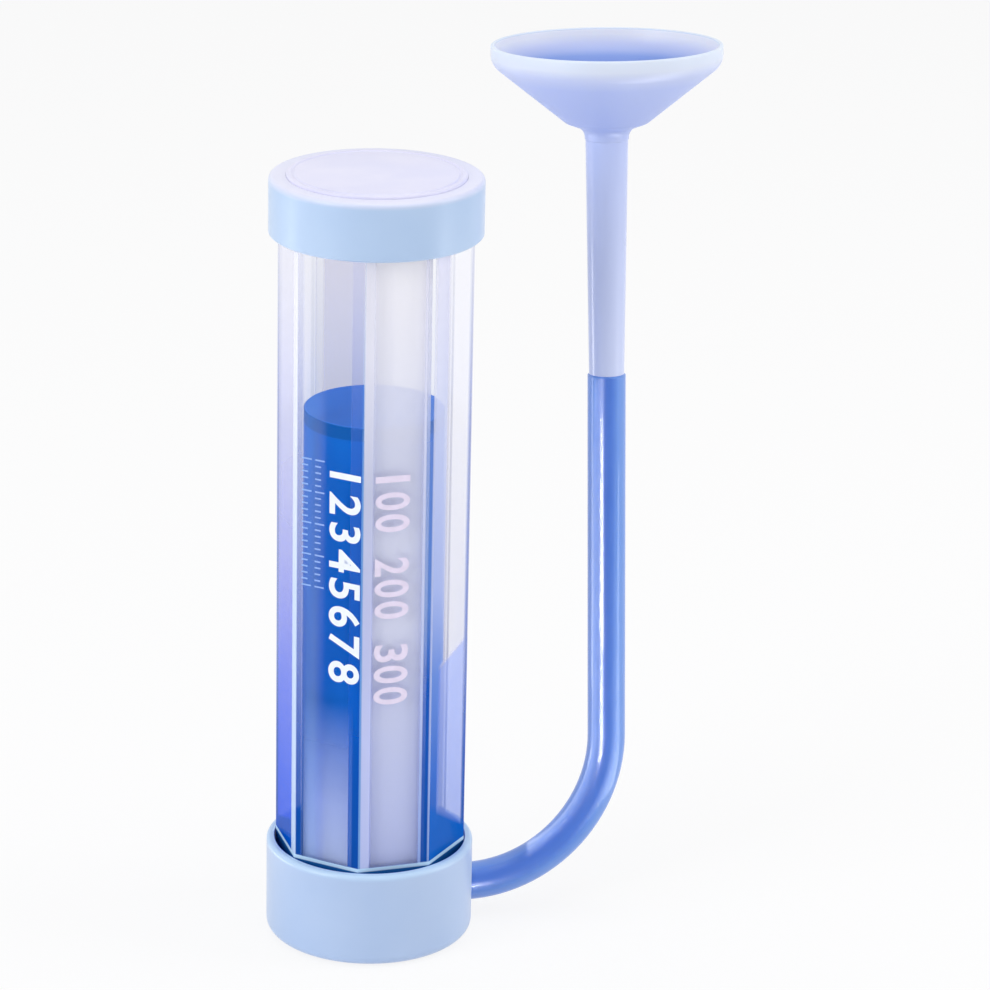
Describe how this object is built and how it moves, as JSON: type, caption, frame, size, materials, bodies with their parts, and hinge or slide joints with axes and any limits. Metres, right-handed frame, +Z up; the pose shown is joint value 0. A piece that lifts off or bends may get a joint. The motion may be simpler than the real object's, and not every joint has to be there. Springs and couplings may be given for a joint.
{
  "type": "breathing trainer",
  "caption": "Breathing trainer: a cup and bent tube lead the user's breath into a clear eight-sided chamber, where it lifts a bell-shaped float.",
  "frame": {"origin": "centre of the foot pad's lower face, on the table, on the chamber's upright axis", "axes": "+Z up along the chamber, +X out of the side port towards the breathing tube, -Y towards the flat with the scale"},
  "size_m": [0.1454, 0.0903, 0.2755],
  "materials": {
    "foot_pad": "matt",
    "base_shell": "satin",
    "air_manifold": "satin",
    "port_grommet": "matt",
    "swivel_seal": "matt",
    "tube_gasket": "matt",
    "clear_tube": "clear, bluer towards the foot",
    "scale_film": "milky film",
    "side_film": "milky blue film",
    "riser_pipe": "satin",
    "riser_head": "matt",
    "landing_ring": "matt",
    "float_tube": "satin",
    "float_lid": "satin",
    "float_guide": "matt",
    "cap_shell": "satin",
    "cap_inlay": "satin",
    "cap_bumper": "matt",
    "cap_grip_ring": "matt",
    "breathing_tube": "clear blue",
    "mouth_stem": "clear pale blue",
    "stem_seal": "matt",
    "mouth_cup": "soft silicone"
  },
  "bodies": {
    "chamber": {"foot_pad": "foot_pad", "base_shell": "base_shell", "air_manifold": "air_manifold", "port_grommet": "port_grommet", "swivel_seal": "swivel_seal", "tube_gasket": "tube_gasket", "clear_tube": "clear_tube", "scale_film": "scale_film", "side_film": "side_film", "riser_pipe": "riser_pipe", "riser_head": "riser_head", "landing_ring": "landing_ring"},
    "float": {"float_tube": "float_tube", "float_lid": "float_lid", "float_guide": "float_guide"},
    "cap": {"cap_shell": "cap_shell", "cap_inlay": "cap_inlay", "cap_bumper": "cap_bumper", "cap_grip_ring": "cap_grip_ring"},
    "hose": {"breathing_tube": "breathing_tube"},
    "mouthpiece": {"mouth_stem": "mouth_stem", "stem_seal": "stem_seal", "mouth_cup": "mouth_cup"}
  },
  "joints": [
    {"name": "float_rise", "type": "slide", "parent": "chamber", "child": "float", "axis": [0, 0, 1], "range_m": [0, 0.066]},
    {"name": "cap_pull", "type": "slide", "parent": "chamber", "child": "cap", "axis": [0, 0, 1], "range_m": [0, 0.03]},
    {"name": "tube_swivel", "type": "hinge", "parent": "chamber", "child": "hose", "pos_m": [0.03, 0, 0.011], "axis": [1, 0, 0], "range_deg": [-70, 80]},
    {"name": "mouthpiece_pull", "type": "slide", "parent": "hose", "child": "mouthpiece", "axis": [0, 0.0889, 0.996], "range_m": [0, 0.03]}
  ]
}
